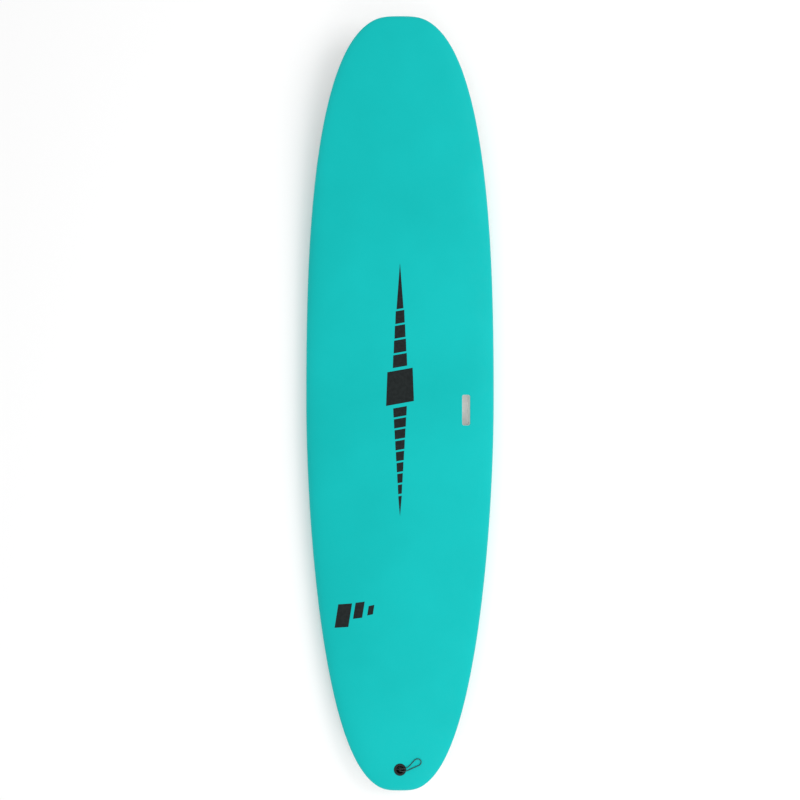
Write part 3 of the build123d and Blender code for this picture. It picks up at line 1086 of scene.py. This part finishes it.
@dataclass
class FoamSkin:
    """The foam deck skin that wraps the rails, as one smooth shell with its seats cut in."""

    shape: BoardShape
    sections: int = 130
    strip: int = 10
    rail: int = 12
    deck: int = 44

    def build(self, material: bpy.types.Material, cutters: list[bpy.types.Object]) -> bpy.types.Object:
        """Builds and cuts the skin.

        Args:
            material: Foam finish.
            cutters: Solids to cut out of it.

        Returns:
            The skin.
        """
        points: list[Point3] = []
        places = self.shape.stations(self.sections)
        for y in places:
            right = self.shape.ring(y, self.strip, self.rail, self.deck)
            left = [(-x, z) for x, z in reversed(right[1:-1])]
            points += [(x, y, z) for x, z in right + left]
        n = len(points) // len(places)
        faces: list[tuple[int, ...]] = []
        for row in range(len(places) - 1):
            a, b = row * n, (row + 1) * n
            faces += [(a + i, b + i, b + (i + 1) % n, a + (i + 1) % n) for i in range(n)]
        faces.append(tuple(range(n)))
        faces.append(tuple(reversed(range(len(points) - n, len(points)))))
        skin = mesh_object("foam_skin", points, faces, material)
        clean = bmesh.new()
        clean.from_mesh(skin.data)
        bmesh.ops.remove_doubles(clean, verts=clean.verts, dist=SKIN_MERGE)
        bmesh.ops.recalc_face_normals(clean, faces=clean.faces)
        clean.to_mesh(skin.data)
        clean.free()
        for cutter in cutters:
            cut(skin, cutter)
        shade(skin, SKIN_SHARP_ANGLE)
        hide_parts("deck_skin")
        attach(skin, "board")
        LOG.info("foam skin built, %d faces", len(skin.data.polygons))
        return skin


@dataclass
class PrintedMarks:
    """Plain printed marks: a column of bars, slanted dashes and a ring, none of them lettering.

    A column bar is (top, foot, half width at the top, half width at the foot), and a half width of 0
    is a point. A tail bar is (left, right, high, low).
    """

    shape: BoardShape
    lift: float = 0.00022
    grid: float = 0.012
    column_lean: float = 0.18
    underside_shift: float = -0.028
    slivers: tuple[Bar, ...] = ((0.461, 0.316, 0.000, 0.011), (-0.277, -0.341, 0.0055, 0.000))
    middle_bar: Bar = (0.122, 0.016, 0.040, 0.044)
    upper_bar: Bar = (0.310, 0.270, 0.0135, 0.0148)
    upper_bars: int = 4
    upper_step: float = 0.046
    upper_growth: float = 0.0026
    lower_bar: Bar = (0.004, -0.025, 0.0215, 0.0203)
    lower_bars: int = 8
    lower_step: float = 0.035
    lower_growth: float = -0.0021
    tail_bars: tuple[Bar, ...] = (
        (-0.208, -0.164, -0.622, -0.697),
        (-0.149, -0.120, -0.616, -0.667),
        (-0.104, -0.086, -0.626, -0.656),
    )
    tail_slant: float = 0.16
    tail_rise: float = 0.004
    ring_y: float = -0.649
    ring_steps: int = 48
    rings: dict[str, Point2] = field(
        default_factory=lambda: {"underside_ring": (0.0385, 0.035), "underside_dot": (0.020, 0.0165)}
    )

    def height(self, x: float, y: float, side: Face) -> float:
        """Height of the printed surface.

        Args:
            x: Place across.
            y: Place along.
            side: Face that carries the mark.

        Returns:
            Height just off that face.
        """
        if side is Face.DECK:
            return self.shape.deck_z(x, y) + self.lift
        return self.shape.rocker(y) - self.lift

    def score(self, work: bmesh.types.BMesh, outlines: list[list[Point2]], axis: int) -> None:
        """Cuts the flat outlines across, so that they can follow the board.

        Args:
            work: Mesh of the outlines.
            outlines: Closed outlines seen from above.
            axis: 0 for cuts along x, 1 for cuts along y.
        """
        values = [point[axis] for outline in outlines for point in outline]
        low, high = min(values), max(values)
        normal = (1.0, 0.0, 0.0) if axis == 0 else (0.0, 1.0, 0.0)
        for i in range(1, int((high - low) / self.grid) + 1):
            at = low + i * self.grid
            place = (at, 0.0, 0.0) if axis == 0 else (0.0, at, 0.0)
            everything = work.verts[:] + work.edges[:] + work.faces[:]
            bmesh.ops.bisect_plane(work, geom=everything, plane_co=place, plane_no=normal)

    def patch(
        self, name: str, outlines: list[list[Point2]], side: Face, material: bpy.types.Material
    ) -> bpy.types.Object:
        """Prints flat outlines onto a face.

        Args:
            name: Object name.
            outlines: Closed outlines seen from above.
            side: Face that carries the mark.
            material: Ink finish.

        Returns:
            The printed mark.
        """
        work = bmesh.new()
        for outline in outlines:
            work.faces.new([work.verts.new((x, y, 0.0)) for x, y in outline])
        for axis in (0, 1):
            self.score(work, outlines, axis)
        for vert in work.verts:
            vert.co.z = self.height(vert.co.x, vert.co.y, side)
        bmesh.ops.recalc_face_normals(work, faces=work.faces)
        if (work.faces[:][0].normal.z > 0) != (side is Face.DECK):
            bmesh.ops.reverse_faces(work, faces=work.faces)
        mesh = bpy.data.meshes.new(name)
        work.to_mesh(mesh)
        work.free()
        thing = bpy.data.objects.new(name, mesh)
        bpy.context.collection.objects.link(thing)
        mesh.materials.append(material)
        mesh.polygons.foreach_set("use_smooth", [True] * len(mesh.polygons))
        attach(thing, "board")
        LOG.info("%s printed", name)
        return thing

    def run(self, bar: Bar, count: int, step: float, growth: float) -> list[Bar]:
        """A run of bars, each one a step further down.

        Args:
            bar: The first bar of the run.
            count: How many bars it has.
            step: Distance from bar to bar.
            growth: Change of the half widths from bar to bar.

        Returns:
            The bars.
        """
        top, foot, half_top, half_foot = bar
        return [
            (top - step * i, foot - step * i, half_top + growth * i, half_foot + growth * i)
            for i in range(count)
        ]

    def column(self, shift: float, lean: float) -> list[list[Point2]]:
        """A slim column of plain slanted bars between two long slivers.

        Args:
            shift: Place of the whole column along the board.
            lean: Slant of the bars, height over width, with its sign.

        Returns:
            Outlines of slivers and bars.
        """
        rows = list(self.slivers)
        rows += self.run(self.upper_bar, self.upper_bars, self.upper_step, self.upper_growth)
        rows.append(self.middle_bar)
        rows += self.run(self.lower_bar, self.lower_bars, self.lower_step, self.lower_growth)
        bars = []
        for top, foot, half_top, half_foot in rows:
            high, low = top + shift, foot + shift
            upper = [(half_top, high + lean * half_top), (-half_top, high - lean * half_top)]
            lower = [(-half_foot, low - lean * half_foot), (half_foot, low + lean * half_foot)]
            if half_top == 0.0:
                bars.append([(0.0, high), *lower])
            elif half_foot == 0.0:
                bars.append([(0.0, low), *upper])
            else:
                bars.append([*lower, *upper])
        return bars

    def ring(self, cy: float, outer: float, inner: float) -> list[list[Point2]]:
        """A plain ring on the centre line, cut into short strips.

        Args:
            cy: Centre along the board.
            outer: Outer radius.
            inner: Inner radius.

        Returns:
            Outlines of the strips.
        """
        angles = [2 * math.pi * i / self.ring_steps for i in range(self.ring_steps + 1)]
        return [
            [
                (radius * math.cos(angle), cy + radius * math.sin(angle))
                for radius, angle in ((inner, a), (outer, a), (outer, b), (inner, b))
            ]
            for a, b in zip(angles, angles[1:])
        ]

    def build(self, ink: bpy.types.Material) -> None:
        """Prints all marks.

        Args:
            ink: Ink finish.
        """
        lean = self.column_lean
        self.patch("deck_column", self.column(0.0, lean), Face.DECK, ink)
        self.patch("underside_column", self.column(self.underside_shift, -lean), Face.UNDERSIDE, ink)
        bars = []
        for left, right, high, low in self.tail_bars:
            slant, rise = self.tail_slant * (high - low), self.tail_rise
            foot = [(left, low), (right, low + rise)]
            bars.append([*foot, (right + slant, high + rise), (left + slant, high)])
        self.patch("tail_bars", bars, Face.DECK, ink)
        for name, (outer, inner) in self.rings.items():
            self.patch(name, self.ring(self.ring_y, outer, inner), Face.UNDERSIDE, ink)


@dataclass
class InnerBoard:
    """The layers inside: core planks, stringers, blocks and backing foam, and the slick."""

    def dress(self, slick: bpy.types.Material) -> None:
        """Gives the inner pieces and the slick their finish.

        Args:
            slick: Finish of the slick.
        """
        beads = BeadFoamFinish().build()
        wood = PlywoodFinish().build()
        block = FineFoamFinish("dense_foam", (0.70, 0.67, 0.52), (0.58, 0.55, 0.42)).build()
        backing = FineFoamFinish("backing_foam", (0.80, 0.80, 0.77), (0.68, 0.68, 0.66)).build()
        layers = (
            (beads, ("core_outer_left", "core_inner_left", "core_inner_right", "core_outer_right")),
            (wood, ("stringer_left", "stringer_center", "stringer_right")),
            (block, ("fin_block_left", "fin_block_right", "fin_block_center", "tail_block")),
            (backing, ("bottom_backing",)),
            (slick, ("bottom_slick",)),
        )
        for material, names in layers:
            for name in names:
                paint_node(name, material)
        LOG.info("inner layers and slick dressed")


@dataclass
class Studio:
    """Camera, soft lights and floor."""

    camera_place: Point3 = (0.0, 0.027, 2.70)
    lens: float = 37.17
    sensor: float = 36.0
    sight: float = 60.0
    lamps: dict[str, tuple[Point3, float, float]] = field(
        default_factory=lambda: {"key": ((2.6, 1.0, 2.7), 45.0, 2.2), "tail": ((0.9, -2.6, 2.2), 22.0, 1.8)}
    )
    daylight: float = 0.90
    floor_reach: float = 90.0
    floor_drop: float = 0.0005

    def build(self) -> None:
        """Sets the camera, the lights and the floor.

        The floor lies just under the board.
        """
        self.build_camera()
        self.build_lights()
        reach = self.floor_reach
        corners = [(-reach, -reach, 0), (reach, -reach, 0), (reach, reach, 0), (-reach, reach, 0)]
        floor = mesh_object("floor", corners, [(0, 1, 2, 3)], FloorFinish().build())
        floor.location.z = -self.floor_drop
        LOG.info("studio set")

    def build_camera(self) -> None:
        """Sets the camera.

        It looks straight down on the deck, with the nose at the top.
        """
        scene = bpy.context.scene
        camera = bpy.data.cameras.new("camera")
        camera.lens = self.lens
        camera.sensor_width = self.sensor
        camera.clip_end = self.sight
        eye = bpy.data.objects.new("camera", camera)
        eye.location = self.camera_place
        scene.collection.objects.link(eye)
        scene.camera = eye

    def build_lights(self) -> None:
        """Sets the lamps and the even light all round.

        A lamp is (place, energy, size), and points at the middle of the board.
        """
        scene = bpy.context.scene
        for name, (place, energy, size) in self.lamps.items():
            light = bpy.data.lights.new(name, "AREA")
            light.energy, light.size = energy, size
            lamp = bpy.data.objects.new(name, light)
            lamp.location = place
            lamp.rotation_euler = (Vector((0, 0, 0)) - Vector(place)).to_track_quat("-Z", "Y").to_euler()
            scene.collection.objects.link(lamp)
        world = bpy.data.worlds.new("studio")
        world.use_nodes = True
        background = world.node_tree.nodes["Background"]
        background.inputs["Color"].default_value = (1.0, 1.0, 1.0, 1.0)
        background.inputs["Strength"].default_value = self.daylight
        scene.world = world
        scene.view_settings.view_transform = "Standard"


def paint_node(name: str, material: bpy.types.Material) -> None:
    """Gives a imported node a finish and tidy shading.

    Args:
        name: Node name.
        material: Its finish.
    """
    thing = frame["nodes"][name]
    thing.data.materials.clear()
    thing.data.materials.append(material)
    shade(thing, NODE_SHARP_ANGLE)


def main() -> None:
    """Builds the studio and dresses the board.

    The camera and the string come first.
    """
    Studio().build()
    shape = BoardShape()
    foam = DeckFoamFinish().build()
    slick = SlickFinish().build()
    black_tones = ((0.0075, 0.0095, 0.0095), (0.0045, 0.006, 0.006))
    black = MouldedFinish("black_plastic", *black_tones, specular=0.2).build()
    grey = MouldedFinish("grip_plastic", (0.86, 0.86, 0.84), (0.78, 0.78, 0.76), (0.42, 0.55)).build()
    white = MouldedFinish("box_plastic", (0.74, 0.745, 0.72), (0.68, 0.685, 0.66), (0.36, 0.48)).build()
    steel = SteelFinish().build()
    dark_steel = SteelFinish("blackened_steel", (0.050, 0.052, 0.052), (0.028, 0.030, 0.030)).build()
    braid = BraidFinish().build()
    fins, grip, plug = FinBoxes(shape), FingerGrip(shape), LeashPlug(shape)
    plug.dress(black, dark_steel, braid)
    cutters = fins.pockets(foam) + grip.pockets(foam) + plug.pockets(foam)
    FoamSkin(shape).build(foam, cutters)
    InnerBoard().dress(slick)
    fins.dress(white, steel)
    grip.dress(grey)
    PrintedMarks(shape).build(PrintInkFinish().build())


if __name__ == "__main__":
    main()
